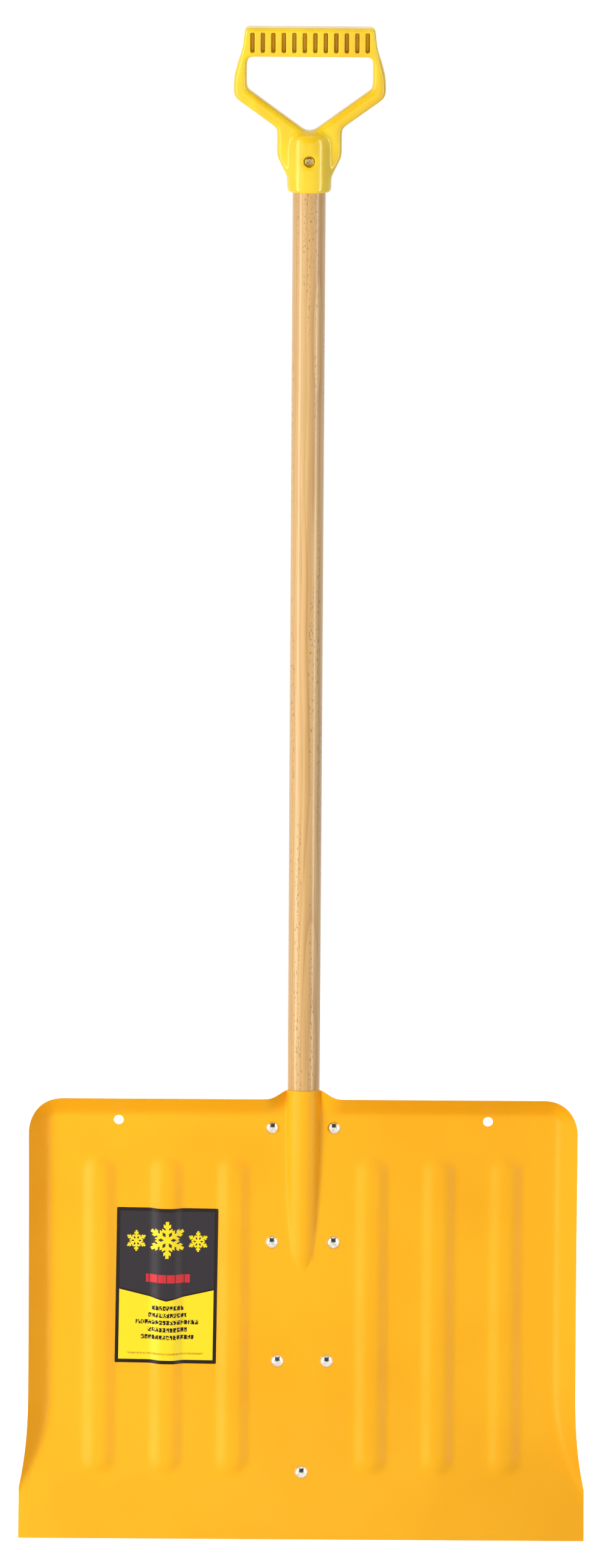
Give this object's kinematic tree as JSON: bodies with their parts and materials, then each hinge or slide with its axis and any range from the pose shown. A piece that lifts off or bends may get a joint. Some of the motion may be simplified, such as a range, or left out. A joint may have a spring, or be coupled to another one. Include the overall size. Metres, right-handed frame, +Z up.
{
  "type": "snow shovel",
  "caption": "Wide pressed steel scoop with forward flanges and ribs, riveted to a round hardwood shaft with a moulded D grip.",
  "frame": {"origin": "middle of the cutting edge", "axes": "+Z up along the shaft, -Y out of the hollow of the scoop, +X to the right of somebody who faces the hollow"},
  "size_m": [0.4572, 0.0797, 1.2125],
  "materials": {
    "blade_paint": "semi-gloss golden yellow stove enamel on steel sheet",
    "grip_plastic": "glossy moulded yellow polypropylene",
    "shaft_wood": "clear lacquered light hardwood, straight grain",
    "rivet_steel": "bright zinc plated",
    "screw_steel": "zinc plated, slightly dulled",
    "label_print": "printed film, charcoal over yellow"
  },
  "bodies": {
    "root": {"blade": "blade_paint", "back_plate": "blade_paint", "handle_shaft": "shaft_wood", "d_grip": "grip_plastic", "grip_screw": "screw_steel", "handle_screw": "screw_steel", "rivet_top_left": "rivet_steel", "rivet_top_right": "rivet_steel", "rivet_mid_left": "rivet_steel", "rivet_mid_right": "rivet_steel", "rivet_low_left": "rivet_steel", "rivet_low_right": "rivet_steel", "rivet_toe": "rivet_steel", "label": "label_print"}
  },
  "joints": []
}
